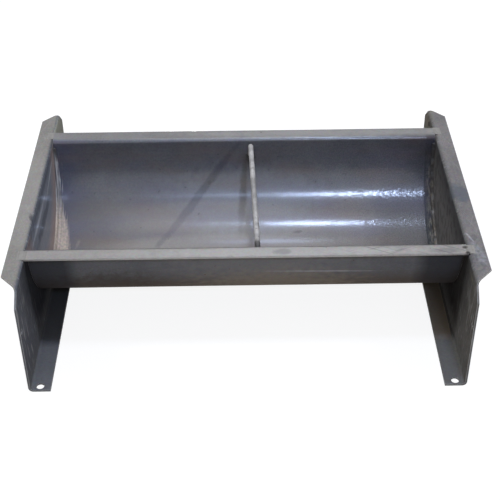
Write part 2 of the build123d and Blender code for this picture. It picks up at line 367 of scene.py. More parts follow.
# The sheet's grain is drawn 2.5 mm wide, because the real one is too fine to show.
grain = node(tree, "TexNoise", {"Vector": unrolled, "Scale": 1 / 0.0025, "Detail": 3.0})[0]
rough = node(
    tree, "MapRange", {"Value": x, "From Min": 0.12, "From Max": 0.28, "To Min": 0.25, "To Max": 0.7},
)[0]
bump = node(tree, "Bump", {"Strength": rough, "Distance": 0.0002, "Height": grain})[0]
# Towards the right the film lies in 5 mm dimples, which break its reflections into sparkles.
dimples = node(tree, "TexNoise", {"Vector": unrolled, "Scale": 1 / 0.005, "Detail": 0.0})[0]
dimpled = node(tree, "MapRange", {"Value": x, "From Min": 0.0, "From Max": 0.28, "To Max": 0.5})[0]
film_bump = node(tree, "Bump", {"Strength": dimpled, "Distance": 0.0003, "Height": dimples})[0]
plug_in(tree, shader, {
    "Base Color": mottled(tree, unrolled, base), "Metallic": 0.3, "Roughness": dull, "Normal": bump,
    "Coat Weight": film, "Coat Roughness": 0.155, "Coat Normal": film_bump,
})

# The same sheet outside, never oiled: matt and freckled with rust. Its light and dark are painted
# reflections:
# dark at both ends, paler in the middle of the front with one bright line, and brown on the lower half.
outside_finish, tree, shader, place = new_material("dusty_mill_scale_steel")
x, y, z = node(tree, "SeparateXYZ", {0: place})
arc, _ = unroll(tree, y, z)
unrolled = node(tree, "CombineXYZ", {"X": x, "Y": arc, "Z": 0.0})[0]
tone = rolled_tone(tree, unrolled)
base = node(tree, "MixRGB", {"Fac": tone, "Color1": colour("#75767a"), "Color2": colour("#8e8f91")})[0]
ragged = ragged_edge(tree, unrolled)
# Painted reflection of a brown floor, browning the lower half.
low = node(tree, "Math", {0: ragged, 1: 0.05, 2: z}, operation="MULTIPLY_ADD")[0]
painted_brown_reflection = node(tree, "MapRange", {"Value": low, "From Min": 0.125, "From Max": 0.085, "To Max": 0.75})[0]
base = node(tree, "MixRGB", {"Fac": painted_brown_reflection, "Color1": base, "Color2": colour("#74665a")})[0]
# Painted reflections: paler in the middle of the front, darker brown at the lower left, and one bright line.
for mark_colour, strength, centre, size, turn in (
    ("#a5a4a3", 0.5, (0.02, -0.200, 0.0), (0.19, 0.11, 0.1), 0.0),
    ("#aca294", 0.7, (0.05, -0.125, 0.0), (0.17, 0.07, 0.1), 0.0),
    ("#4c443d", 0.45, (-0.19, -0.135, 0.0), (0.10, 0.06, 0.1), 0.0),
    ("#c9cad2", 0.7, (0.108, -0.169, 0.0), (0.105, 0.0028, 0.1), 0.02),
):
    mask = mark(tree, unrolled, ragged, centre, size, (0, 0, turn), strength, core=0.2)
    base = node(tree, "MixRGB", {"Fac": mask, "Color1": base, "Color2": colour(mark_colour)})[0]
# Painted dark reflections near both ends.
end_gap = node(tree, "Math", {0: x}, operation="ABSOLUTE")[0]
end_gap = node(tree, "Math", {0: ragged, 1: 0.010, 2: end_gap}, operation="MULTIPLY_ADD")[0]
heat_tint_and_painted_dark = node(tree, "MapRange", {"Value": end_gap, "From Min": 0.236, "From Max": 0.257, "To Max": 0.72})[0]
base = node(tree, "MixRGB", {"Fac": heat_tint_and_painted_dark, "Color1": base, "Color2": colour("#38393f")})[0]
freckles = node(tree, "TexNoise", {"Vector": unrolled, "Scale": 1 / 0.007, "Detail": 2.0})[0]
freckles = node(tree, "MapRange", {"Value": freckles, "From Min": 0.7, "From Max": 0.76, "To Max": 0.7})[0]
base = node(tree, "MixRGB", {"Fac": freckles, "Color1": base, "Color2": colour("#6b4a36")})[0]
dull = node(tree, "MapRange", {"Value": tone, "To Min": 0.65, "To Max": 0.8})[0]
grain = node(tree, "TexNoise", {"Vector": unrolled, "Scale": 1 / 0.0025, "Detail": 3.0})[0]
bump = node(tree, "Bump", {"Strength": 0.3, "Distance": 0.0002, "Height": grain})[0]
plug_in(tree, shader, {
    "Base Color": mottled(tree, unrolled, base), "Roughness": dull, "Normal": bump,
    "Specular IOR Level": 0.03,
})

# Bare steel, where rubbing has taken the scale off the sheared edges: brighter than the sheet, in patches.
edge_finish, tree, shader, place = new_material("bare_worn_steel_edge")
patches = node(tree, "TexNoise", {"Vector": place, "Scale": 1 / 0.006, "Detail": 4.0})[0]
bare = node(tree, "MixRGB", {"Fac": patches, "Color1": colour("#6a6866"), "Color2": colour("#b3b2b0")})[0]
plug_in(tree, shader, {"Base Color": bare, "Metallic": 0.5, "Roughness": 0.38})

rim_flat = rim_edge - bend_y
quarter = math.pi / 2 - bend_dip
pan = start_piece(
    "pan_sheet", bpy.ops.mesh.primitive_grid_add, x_subdivisions=122, y_subdivisions=2, size=1,
)
bpy.ops.transform.resize(value=(2 * pan_end, rim_flat, 1))
bpy.ops.transform.translate(value=(0, rim_flat / 2 - rim_edge, rim_top))
pick(pan, lambda place: place.y > -bend_y - pick_slack)
bpy.ops.mesh.spin(steps=10, angle=quarter, center=(0, -bend_y, bend_z), axis=(1, 0, 0))
bpy.ops.mesh.spin(steps=88, angle=-2 * quarter, center=(0, 0, pan_axis), axis=(1, 0, 0))
bpy.ops.mesh.spin(steps=10, angle=quarter, center=(0, bend_y, bend_z), axis=(1, 0, 0))
bpy.ops.mesh.extrude_edges_move(TRANSFORM_OT_translate={"value": (0, rim_flat, 0)})
lay_sheet(pan)
for finish in (pan_finish, edge_finish, outside_finish):
    pan.data.materials.append(finish)
for name, width, height in (("roll_waves", 0.12, 0.0004), ("small_dents", 0.018, 0.0001)):
    dents = bpy.data.textures.new(name, "CLOUDS")
    dents.noise_scale = width
    dents.noise_depth = 1
    apply_modifier(pan, "DISPLACE", texture=dents, strength=height, mid_level=0.5, texture_coords="LOCAL")
thicken_sheet(pan, far_finish=2)
break_edges(pan)
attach(pan, "root")
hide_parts("trough_pan")

# End plates
# One 3 mm sheet at each end: the upright wall closes the pan and is the legs, the foot is folded in under
# the trough and the flange is folded out at the top. Bolt and tie holes are punched near the corners.
plate_low, plate_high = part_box("right_end_plate")
half_depth = plate_high.y
flange_edge = plate_high.x
foot_edge = plate_low.x
web_outer = pan_end + sheet
foot_bend_x = web_outer - bend_outside
top_bend_x = pan_end + bend_outside
bend_steps = 8
corner_cut_down = 0.0225
corner_cut_along = 0.044
foot_hole = 0.0055
tie_hole = 0.0035
hole_inset = 0.0085
hole_y = half_depth - hole_inset
tie_hole_z = 0.105
cut_start = rim_top - corner_cut_down
cut_web = corner_cut_down - bend_outside
cut_bend = (bend_outside - sheet / 2) * math.pi / 2
cut_slope = corner_cut_along / (cut_web + cut_bend + flange_edge - top_bend_x)

# Hot-rolled steel under mill scale, dry and handled: mid grey with rolling streaks and scuffs, and a brown
# ring where the seam's heat has burnt the scale. The upright walls are painted darker as shade, and black
# beyond the ring under the pan as painted shade. Inside the pan the left plate is oily and painted paler as
# light, with painted reflections and the flange's painted shadow, and reddened towards its seam, and the
# right one is grimy and painted darker high up as shade. The feet are greyer near the floor, with a painted
# shadow under the pan and dried mud there on the right one. The wall behind the rear-left rim is painted
# paler as light, and the one behind the rear-right rim is warmer.
plate_finish, tree, shader, place = new_material("handled_mill_scale_steel")
x, y, z = node(tree, "SeparateXYZ", {0: place})
_, reach = unroll(tree, y, z)
along = node(tree, "CombineXYZ", {"X": y, "Y": z, "Z": x})[0]
tone = rolled_tone(tree, along)
base = node(tree, "MixRGB", {"Fac": tone, "Color1": colour("#817e7a"), "Color2": colour("#a39f98")})[0]
darker = node(tree, "MixRGB", {"Fac": tone, "Color1": colour("#727071"), "Color2": colour("#97928f")})[0]
right_hand = node(tree, "Math", {0: x, 1: 0.0}, operation="GREATER_THAN")[0]
faded = node(tree, "Math", {0: y, 1: -0.02}, operation="SUBTRACT")[0]
faded = node(tree, "Math", {0: faded}, operation="ABSOLUTE")[0]
faded = node(tree, "MapRange", {"Value": faded, "From Min": 0.2, "From Max": 0.06, "To Max": 0.35})[0]
base = node(tree, "MixRGB", {"Fac": faded, "Color1": base, "Color2": colour("#b3afa9")})[0]
base = node(tree, "MixRGB", {"Fac": right_hand, "Color1": base, "Color2": darker})[0]
ragged = ragged_edge(tree, place)
# Where the wall is upright, and which part of its inner face is inside the pan, which flares out at the top.
out = node(tree, "Math", {0: x}, operation="ABSOLUTE")[0]
inner = node(tree, "Math", {0: out, 1: pan_end + 0.0005}, operation="LESS_THAN")[0]
upright = node(
    tree, "MapRange", {"Value": out, "From Min": pan_end + 0.004, "From Max": pan_end + 0.001},
)[0]
flared = node(
    tree, "MapRange", {"Value": z, "From Min": 0.160, "From Max": 0.170, "To Max": bend_outside},
)[0]
flared = node(tree, "Math", {0: reach, 1: flared}, operation="SUBTRACT")[0]
dished = node(tree, "Math", {0: flared, 1: pan_radius}, operation="LESS_THAN")[0]
inside = node(tree, "Math", {0: inner, 1: dished}, operation="MULTIPLY")[0]
# Painted shade: the upright walls take darker copies of the sheet's colour, cool on the left and inside the
# pan, warm on the right wall outside it.
cool_wall_shade = node(tree, "MixRGB", {"Fac": tone, "Color1": colour("#60636b"), "Color2": colour("#82858d")})[0]
warm_wall_shade = node(tree, "MixRGB", {"Fac": tone, "Color1": colour("#6a6966"), "Color2": colour("#8d8c8a")})[0]
browned = node(tree, "Math", {0: right_hand, 1: inside}, operation="SUBTRACT", use_clamp=True)[0]
shade = node(tree, "MixRGB", {"Fac": browned, "Color1": cool_wall_shade, "Color2": warm_wall_shade})[0]
base = node(tree, "MixRGB", {"Fac": upright, "Color1": base, "Color2": shade})[0]
on_foot = node(tree, "Math", {0: z, 1: 2 * sheet}, operation="LESS_THAN")[0]
wall = node(tree, "Math", {0: upright, 1: inside}, operation="SUBTRACT", use_clamp=True)[0]
wall = node(tree, "Math", {0: wall, 1: on_foot}, operation="SUBTRACT", use_clamp=True)[0]
flat = node(tree, "Math", {0: 1.0, 1: upright}, operation="SUBTRACT")[0]
# Scuffs: fine on the flange and the foot, broad on the wall outside the pan.
for turn, width, strength, bared in (
    ((0, 0, 1.2), 0.0015, 0.15, flat),
    ((0, 0, 1.9), 0.0015, 0.15, flat),
    ((0, 1.45, 0), 0.005, 0.55, wall),
    ((0, 1.7, 0.1), 0.005, 0.55, wall),
):
    mask = scuffs(tree, place, turn, width, strength)
    mask = node(tree, "Math", {0: mask, 1: bared}, operation="MULTIPLY")[0]
    base = node(tree, "MixRGB", {"Fac": mask, "Color1": base, "Color2": colour("#bdbdbd")})[0]
# The seam's heat, and black beyond its ring on the inner faces outside the pan: painted shade.
from_seam = node(tree, "Math", {0: reach, 1: pan_radius}, operation="SUBTRACT")[0]
from_seam = node(tree, "Math", {0: from_seam}, operation="ABSOLUTE")[0]
from_seam = node(tree, "Math", {0: ragged, 1: 0.008, 2: from_seam}, operation="MULTIPLY_ADD")[0]
heat_tint_and_painted_dark = node(tree, "MapRange", {"Value": from_seam, "From Min": 0.011, "From Max": 0.003, "To Max": 0.5})[0]
heat_tint_and_painted_dark = node(tree, "Math", {0: heat_tint_and_painted_dark, 1: upright}, operation="MULTIPLY")[0]
base = node(tree, "MixRGB", {"Fac": heat_tint_and_painted_dark, "Color1": base, "Color2": colour("#5f564f")})[0]
painted_shade_under_pan = node(tree, "Math", {0: ragged, 1: 0.02, 2: reach}, operation="MULTIPLY_ADD")[0]
painted_shade_under_pan = node(
    tree, "MapRange", {"Value": painted_shade_under_pan, "From Min": 0.222, "From Max": 0.172, "To Max": 0.7},
)[0]
outside = node(tree, "Math", {0: inner, 1: inside}, operation="SUBTRACT")[0]
painted_shade_under_pan = node(tree, "Math", {0: painted_shade_under_pan, 1: outside}, operation="MULTIPLY")[0]
base = node(tree, "MixRGB", {"Fac": painted_shade_under_pan, "Color1": base, "Color2": colour("#313236")})[0]
# Greyer near the floor, a painted shadow on the feet under the pan, and mud over it on the right foot's top.
low = node(tree, "Math", {0: ragged, 1: 0.04, 2: z}, operation="MULTIPLY_ADD")[0]
greyed_near_floor = node(tree, "MapRange", {"Value": low, "From Min": 0.045, "From Max": 0.0, "To Max": 0.6})[0]
base = node(tree, "MixRGB", {"Fac": greyed_near_floor, "Color1": base, "Color2": colour("#6f6e6c")})[0]
painted_foot_shadow = node(tree, "Math", {0: ragged, 1: 0.012, 2: y}, operation="MULTIPLY_ADD")[0]
painted_foot_shadow = node(tree, "MapRange", {"Value": painted_foot_shadow, "From Min": -0.157, "From Max": -0.140, "To Max": 0.5})[0]
painted_foot_shadow = node(tree, "Math", {0: painted_foot_shadow, 1: on_foot}, operation="MULTIPLY")[0]
level = node(tree, "Math", {0: z, 1: sheet + 0.0002}, operation="LESS_THAN")[0]
muddy = node(tree, "Math", {0: painted_foot_shadow, 1: right_hand}, operation="MULTIPLY")[0]
muddy = node(tree, "Math", {0: muddy, 1: level}, operation="MULTIPLY")[0]
base = node(tree, "MixRGB", {"Fac": muddy, "Color1": base, "Color2": colour("#a8967f")})[0]
painted_foot_shadow = node(tree, "Math", {0: painted_foot_shadow, 1: muddy}, operation="SUBTRACT")[0]
base = node(tree, "MixRGB", {"Fac": painted_foot_shadow, "Color1": base, "Color2": colour("#36322d")})[0]
# Grime inside the right plate, painted darker high up as shade, and inside the left one a painted light that
# makes it paler, and a reddened edge.
patchy = node(tree, "TexNoise", {"Vector": place, "Scale": 1 / 0.007, "Detail": 3.0})[0]
patchy = node(tree, "MapRange", {"Value": patchy, "From Min": 0.35, "From Max": 0.6, "To Min": 0.2})[0]
grimy = node(tree, "MapRange", {"Value": patchy, "To Min": 0.85, "To Max": 0.95})[0]
grimy = node(tree, "Math", {0: grimy, 1: inside}, operation="MULTIPLY")[0]
grimy = node(tree, "Math", {0: grimy, 1: right_hand}, operation="MULTIPLY")[0]
base = node(tree, "MixRGB", {"Fac": grimy, "Color1": base, "Color2": colour("#848281")})[0]
blotchy = node(tree, "TexNoise", {"Vector": place, "Scale": 1 / 0.014, "Detail": 4.0})[0]
blotchy = node(tree, "MapRange", {"Value": blotchy, "From Min": 0.48, "From Max": 0.60, "To Max": 0.4})[0]
blotchy = node(tree, "Math", {0: blotchy, 1: grimy}, operation="MULTIPLY")[0]
base = node(tree, "MixRGB", {"Fac": blotchy, "Color1": base, "Color2": colour("#4a4744")})[0]
# Painted shade: darker high up inside the right plate.
soot_and_painted_shade = node(tree, "MapRange", {"Value": z, "From Min": 0.11, "From Max": 0.16, "To Max": 0.55})[0]
soot_and_painted_shade = node(tree, "Math", {0: soot_and_painted_shade, 1: inside}, operation="MULTIPLY")[0]
soot_and_painted_shade = node(tree, "Math", {0: soot_and_painted_shade, 1: right_hand}, operation="MULTIPLY")[0]
base = node(tree, "MixRGB", {"Fac": soot_and_painted_shade, "Color1": base, "Color2": colour("#3d3f44")})[0]
oiled = node(tree, "Math", {0: inside, 1: right_hand}, operation="SUBTRACT", use_clamp=True)[0]
# Painted light: the left plate's inner face made paler.
painted_light_left_inside = node(tree, "Math", {0: oiled, 1: 0.7}, operation="MULTIPLY")[0]
base = node(tree, "MixRGB", {"Fac": painted_light_left_inside, "Color1": base, "Color2": colour("#a3a8b4")})[0]
reddened = node(tree, "MapRange", {"Value": reach, "From Min": 0.090, "From Max": 0.122, "To Max": 0.85})[0]
reddened = node(tree, "Math", {0: reddened, 1: oiled}, operation="MULTIPLY")[0]
base = node(tree, "MixRGB", {"Fac": reddened, "Color1": base, "Color2": colour("#b7a49f")})[0]
# Painted light and shade on the left plate's inner face: the flange's shadow along the top, a dark band of
# reflection, and two pale streaks of reflection.
for mark_colour, strength, centre, size, turn in (
    ("#4a4d57", 0.50, (-pan_end, 0.000, 0.170), (0.002, 0.200, 0.022), (0, 0, 0)),
    ("#54575f", 0.55, (-pan_end, 0.000, 0.121), (0.002, 0.095, 0.014), (0, 0, 0)),
    ("#cdd2da", 0.75, (-pan_end, -0.040, 0.1445), (0.002, 0.085, 0.007), (0, 0, 0)),
    ("#d5d9df", 0.90, (-pan_end, 0.080, 0.1445), (0.002, 0.048, 0.0030), (0.23, 0, 0)),
):
    mask = mark(tree, place, ragged, centre, size, turn, strength)
    base = node(tree, "MixRGB", {"Fac": mask, "Color1": base, "Color2": colour(mark_colour)})[0]
# Dark swirls on the front of the right flange, and single stains.
swirls = node(tree, "TexNoise", {"Vector": place, "Scale": 1 / 0.022, "Detail": 2.0, "Distortion": 2.5})[0]
swirls = node(tree, "MapRange", {"Value": swirls, "From Min": 0.44, "From Max": 0.60, "To Max": 0.5})[0]
swirled = mark(tree, place, ragged, (0.318, -0.165, rim_top), (0.025, 0.060, 0.02))
swirls = node(tree, "Math", {0: swirls, 1: swirled}, operation="MULTIPLY")[0]
base = node(tree, "MixRGB", {"Fac": swirls, "Color1": base, "Color2": colour("#5b5d63")})[0]
for mark_colour, strength, centre, size, turn in (
    ("#4c4e54", 0.7, (-0.309, -0.066, rim_top), (0.004, 0.014, 0.02), (0, 0, 0.25)),
    ("#6f7176", 3.0, (0.316, -0.020, rim_top), (0.018, 0.030, 0.02), (0, 0, 0.3)),
    ("#c9cacc", 0.8, (0.312, -0.127, rim_top), (0.0022, 0.016, 0.02), (0, 0, 0.35)),
    ("#b4b6bc", 0.4, (0.318, -0.165, rim_top), (0.011, 0.040, 0.02), (0, 0, 0.3)),
    ("#8d8a7c", 0.6, (pan_end, -0.205, 0.157), (0.02, 0.020, 0.004), (0, 0, 0)),
    # Painted light: the wall behind the rear-left rim made paler.
    ("#a6a79e", 2.5, (-pan_end, 0.200, 0.150), (0.003, 0.070, 0.06), (0, 0, 0)),
    # The wall behind the rear-right rim warmer.
    ("#958f84", 0.7, (pan_end, 0.215, 0.140), (0.02, 0.045, 0.06), (0, 0, 0)),
    ("#2c2826", 5.0, (pan_end, 0.2036, 0.1578), (0.002, 0.006, 0.005), (0, 0, 0)),
):
    mask = mark(tree, place, ragged, centre, size, turn, strength)
    mask = node(tree, "Math", {0: mask, 1: patchy}, operation="MULTIPLY")[0]
    base = node(tree, "MixRGB", {"Fac": mask, "Color1": base, "Color2": colour(mark_colour)})[0]
film = node(
    tree, "MapRange", {"Value": x, "From Min": -0.3, "From Max": 0.3, "To Min": 0.3, "To Max": 0.08},
)[0]
film = node(tree, "Math", {0: film, 1: inside}, operation="MULTIPLY")[0]
film = node(tree, "Math", {0: film, 1: patchy}, operation="MULTIPLY")[0]
dull = node(tree, "MapRange", {"Value": tone, "To Min": 0.58, "To Max": 0.72})[0]
grain = node(tree, "TexNoise", {"Vector": place, "Scale": 1 / 0.0025, "Detail": 3.0})[0]
bump = node(tree, "Bump", {"Strength": 0.3, "Distance": 0.0002, "Height": grain})[0]
plug_in(tree, shader, {
    "Base Color": mottled(tree, place, base), "Roughness": dull, "Normal": bump,
    "Specular IOR Level": 0.0, "Coat Weight": film, "Coat Roughness": 0.05,
})


def extend_sheet(side, move, ratio=1.0):
    """Extrudes the selected edge of an end plate and shortens it along Y."""
    step = (side * move[0], 0, move[1])
    bpy.ops.mesh.extrude_edges_move(TRANSFORM_OT_translate={"value": step})
    bpy.ops.transform.resize(value=(1, ratio, 1), center_override=(0, 0, 0))


for side, name in ((-1, "left_end_plate"), (1, "right_end_plate")):
    plate = start_piece(
        name + "_sheet", bpy.ops.mesh.primitive_grid_add, x_subdivisions=1, y_subdivisions=12, size=1,
    )
    bpy.ops.transform.resize(value=(foot_bend_x - foot_edge, 2 * half_depth, 1))
    bpy.ops.transform.translate(value=(side * (foot_edge + foot_bend_x) / 2, 0, sheet))
    pick(plate, lambda place: side * place.x > foot_bend_x - pick_slack)
    bend_centre = (side * foot_bend_x, 0, bend_outside)
    bpy.ops.mesh.spin(steps=bend_steps, angle=side * math.pi / 2, center=bend_centre, axis=(0, 1, 0))
    extend_sheet(side, (0, cut_start - bend_outside))
    length = half_depth - cut_slope * cut_web
    extend_sheet(side, (0, cut_web), length / half_depth)
    for step in range(bend_steps):
        before = math.pi / 2 * step / bend_steps
        after = math.pi / 2 * (step + 1) / bend_steps
        shorter = length - cut_slope * cut_bend / bend_steps
        across = bend_outside * (math.cos(before) - math.cos(after))
        rise = bend_outside * (math.sin(after) - math.sin(before))
        extend_sheet(side, (across, rise), shorter / length)
        length = shorter
    extend_sheet(side, (flange_edge - top_bend_x, 0), (half_depth - corner_cut_along) / length)
    lay_sheet(plate)
    plate.data.materials.append(plate_finish)
    plate.data.materials.append(edge_finish)
    thicken_sheet(plate, far_finish=0)
    punch = start_piece(
        "punch", bpy.ops.mesh.primitive_cylinder_add, vertices=40, radius=foot_hole, depth=4 * sheet,
        location=(0, 0, 0),
    )
    bpy.ops.transform.translate(value=(side * (web_outer + foot_edge) / 2, hole_y, 0))
    bpy.ops.mesh.duplicate()
    bpy.ops.transform.translate(value=(0, -2 * hole_y, 0))
    for y_side in (-1, 1):
        bpy.ops.mesh.primitive_cylinder_add(
            vertices=32, radius=tie_hole, depth=4 * sheet, rotation=(0, math.pi / 2, 0),
            location=(side * (pan_end + sheet / 2), y_side * hole_y, tie_hole_z),
        )
    bpy.ops.object.mode_set(mode="OBJECT")
    apply_modifier(plate, "BOOLEAN", operation="DIFFERENCE", object=punch, solver="EXACT")
    bpy.data.objects.remove(punch)
    break_edges(plate)
    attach(plate, "root")
    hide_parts(name)

# Divider rod
# An 8 mm round bar across the middle, which parts the two feeding places. Its ends are bent down and cut
# to the curve of the pan's walls, where they are welded. It was set by eye, a little out of square.
rod_low, rod_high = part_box("divider_rod")
rod_radius = 0.004
rod_skew = math.radians(1.3)
rod_x = (rod_high.x + rod_low.x) / 2
rod_axis = rod_high.z - rod_radius
rod_bend = 0.008
rod_turn = math.radians(75)
rod_drop = 0.025
rod_bedding = 0.0004
rod_leg = (rod_drop - rod_bend * (1 - math.cos(rod_turn))) / math.sin(rod_turn)
rod_end_y = math.sqrt(pan_radius ** 2 - (pan_axis - rod_axis + rod_drop) ** 2)
rod_level = rod_end_y - rod_leg * math.cos(rod_turn) - rod_bend * math.sin(rod_turn)
rod = start_piece(
    "divider_bar", bpy.ops.mesh.primitive_cylinder_add, vertices=32, radius=rod_radius, depth=2 * rod_level,
    rotation=(math.pi / 2, 0, 0), end_fill_type="NOTHING",
)
bpy.ops.object.mode_set(mode="OBJECT")
bpy.ops.object.transform_apply(location=True, rotation=True, scale=True)
bpy.ops.object.mode_set(mode="EDIT")
bpy.ops.transform.translate(value=(rod_x, 0, rod_axis))
past = rod_leg + 2 * rod_radius
for side in (-1, 1):
    pick(rod, lambda place: side * place.y > rod_level - pick_slack)
    bend_centre = (rod_x, side * rod_level, rod_axis - rod_bend)
    bpy.ops.mesh.spin(steps=12, angle=side * rod_turn, center=bend_centre, axis=(1, 0, 0))
    leg = (0, side * past * math.cos(rod_turn), -past * math.sin(rod_turn))
    bpy.ops.mesh.extrude_edges_move(TRANSFORM_OT_translate={"value": leg})
    bpy.ops.mesh.edge_face_add()
bpy.ops.mesh.select_all(action="SELECT")
bpy.ops.mesh.remove_doubles(threshold=merge_gap)
bpy.ops.mesh.normals_make_consistent(inside=False)
bpy.ops.transform.rotate(value=-rod_skew, orient_axis="Z", center_override=(rod_x, 0, 0))
bpy.ops.object.mode_set(mode="OBJECT")
trim = start_piece(
    "trim", bpy.ops.mesh.primitive_cylinder_add, vertices=160, radius=pan_radius + rod_bedding, depth=0.1,
    rotation=(0, math.pi / 2, 0), location=(rod_x, 0, pan_axis),
)
bpy.ops.object.mode_set(mode="OBJECT")
apply_modifier(rod, "BOOLEAN", operation="INTERSECT", object=trim, solver="EXACT")
bpy.data.objects.remove(trim)
bpy.ops.object.shade_smooth_by_angle(angle=math.radians(40))

# Bright-drawn steel bar, gone dull: paler than the sheet, with dark handling marks, and painted shade
# darkening it in the middle and at the front end. The die's lines run along it, drawn 1.5 mm wide so that
# they show.
rod_finish, tree, shader, place = new_material("dulled_drawn_steel_bar")
drawn = node(tree, "Mapping", {"Vector": place, "Scale": (1 / 0.0015, 1 / 0.06, 1 / 0.0015)})[0]
lines = node(tree, "TexNoise", {"Vector": drawn, "Scale": 1.0, "Detail": 3.0})[0]
marks = node(tree, "TexNoise", {"Vector": place, "Scale": 1 / 0.015, "Detail": 4.0})[0]
worn = node(tree, "MapRange", {"Value": marks, "From Min": 0.42, "From Max": 0.62})[0]
worn = node(tree, "Math", {0: lines, 1: worn}, operation="MULTIPLY")[0]
bar = node(tree, "MixRGB", {"Fac": worn, "Color1": colour("#cfccc9"), "Color2": colour("#868482")})[0]
specks = node(tree, "TexNoise", {"Vector": place, "Scale": 1 / 0.004, "Detail": 2.0})[0]
specks = node(tree, "MapRange", {"Value": specks, "From Min": 0.64, "From Max": 0.70, "To Max": 0.5})[0]
bar = node(tree, "MixRGB", {"Fac": specks, "Color1": bar, "Color2": colour("#54514f")})[0]
y = node(tree, "SeparateXYZ", {0: place})["Y"]
# Painted shade in the middle of the bar.
from_middle = node(tree, "Math", {0: y, 1: 0.005}, operation="SUBTRACT")[0]
from_middle = node(tree, "Math", {0: from_middle}, operation="ABSOLUTE")[0]
rubbed_and_painted_shade = node(
    tree, "MapRange", {"Value": from_middle, "From Min": 0.032, "From Max": 0.018, "To Max": 0.45},
)[0]
bar = node(tree, "MixRGB", {"Fac": rubbed_and_painted_shade, "Color1": bar, "Color2": colour("#8a8886")})[0]
# Painted shade at the front end, where the bar bends down.
heat_tint_and_painted_dark = node(tree, "MapRange", {"Value": y, "From Min": -0.122, "From Max": -0.128, "To Max": 0.85})[0]
bar = node(tree, "MixRGB", {"Fac": heat_tint_and_painted_dark, "Color1": bar, "Color2": colour("#3a3735")})[0]
dull = node(tree, "MapRange", {"Value": marks, "To Min": 0.32, "To Max": 0.5})[0]
bump = node(tree, "Bump", {"Strength": 0.12, "Distance": 0.0001, "Height": lines})[0]
plug_in(tree, shader, {
    "Base Color": bar, "Roughness": dull, "Normal": bump, "Specular IOR Level": 0.3,
})
rod.data.materials.append(rod_finish)
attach(rod, "root")
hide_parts("divider_rod")

# Seam welds
# A fillet bead in the corner between the pan's end and each end plate, laid from rim to rim so that the
# trough holds water. The welder's hand shows in its uneven ripples.
random.seed(11)
seam_leg = 0.0045
seam_swing = math.radians(86)
seam_sink = 0.42 * seam_leg
seam_wobble = 0.0002
drop_length = 0.0025


def weld_bead(name, drops, voxel):
    """Lays overlapping drops over a copy of a weld's CAD solid and runs them together into one rippled bead.
    A drop is its place, its turn and its three half-sizes. With no drops, the copy stays smooth."""
    bead = bpy.data.objects.new(name + "_bead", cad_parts[name].data.copy())
    bead.data.name = name + "_bead"
    bead.data.materials.clear()
    bpy.context.scene.collection.objects.link(bead)
    bpy.ops.object.select_all(action="DESELECT")
    bead.select_set(True)
    bpy.context.view_layer.objects.active = bead
    bpy.ops.object.mode_set(mode="EDIT")
    bpy.ops.mesh.select_all(action="SELECT")
    bpy.ops.mesh.remove_doubles(threshold=merge_gap)
    for spot, turn, size in drops:
        bpy.ops.mesh.primitive_ico_sphere_add(
            subdivisions=2, radius=1.0, location=spot, rotation=turn, scale=size,
        )
    bpy.ops.object.mode_set(mode="OBJECT")
    if drops:
        apply_modifier(bead, "REMESH", mode="VOXEL", voxel_size=voxel, use_smooth_shade=True)
        apply_modifier(bead, "SMOOTH", factor=0.5, iterations=2)
    return bead


# Weld metal as laid, brushed but not painted: grey with straw heat tints, darker up the rear wall as painted
# shade, sooty in patches along the right seam, and under the same dried feed as the pan at the left. Its fine
# scale is drawn 3 mm wide so that it shows.
weld_finish, tree, shader, place = new_material("brushed_weld_steel")
patches = node(tree, "TexNoise", {"Vector": place, "Scale": 1 / 0.009, "Detail": 4.0})[0]
fine = node(tree, "TexNoise", {"Vector": place, "Scale": 1 / 0.003, "Detail": 3.0})[0]
laid = node(tree, "MixRGB", {"Fac": fine, "Color1": colour("#65676c"), "Color2": colour("#96979b")})[0]
tint = node(tree, "MapRange", {"Value": patches, "From Min": 0.42, "From Max": 0.66, "To Max": 0.75})[0]
laid = node(tree, "MixRGB", {"Fac": tint, "Color1": laid, "Color2": colour("#8f8474")})[0]
x, y, z = node(tree, "SeparateXYZ", {0: place})
arc, _ = unroll(tree, y, z)
unrolled = node(tree, "CombineXYZ", {"X": x, "Y": arc, "Z": pan_radius})[0]
# Painted shade up the rear wall.
upper = node(tree, "MapRange", {"Value": arc, "From Min": 0.10, "From Max": 0.16, "To Max": 0.65})[0]
laid = node(tree, "MixRGB", {"Fac": upper, "Color1": laid, "Color2": colour("#3d3e42")})[0]
soot_and_painted_shade = node(tree, "TexNoise", {"Vector": unrolled, "Scale": 1 / 0.014, "Detail": 2.0})[0]
soot_and_painted_shade = node(tree, "MapRange", {"Value": soot_and_painted_shade, "From Min": 0.44, "From Max": 0.54, "To Max": 0.75})[0]
right_hand = node(tree, "Math", {0: x, 1: 0.0}, operation="GREATER_THAN")[0]
soot_and_painted_shade = node(tree, "Math", {0: soot_and_painted_shade, 1: right_hand}, operation="MULTIPLY")[0]
laid = node(tree, "MixRGB", {"Fac": soot_and_painted_shade, "Color1": laid, "Color2": colour("#3f3d3b")})[0]
dusty, feed = dried_feed(tree, unrolled)
laid = node(tree, "MixRGB", {"Fac": dusty, "Color1": laid, "Color2": feed})[0]
dull = node(tree, "MapRange", {"Value": fine, "To Min": 0.35, "To Max": 0.55})[0]
bump = node(tree, "Bump", {"Strength": 0.3, "Distance": 0.0002, "Height": fine})[0]
plug_in(tree, shader, {"Base Color": laid, "Metallic": 0.2, "Roughness": dull, "Normal": bump})

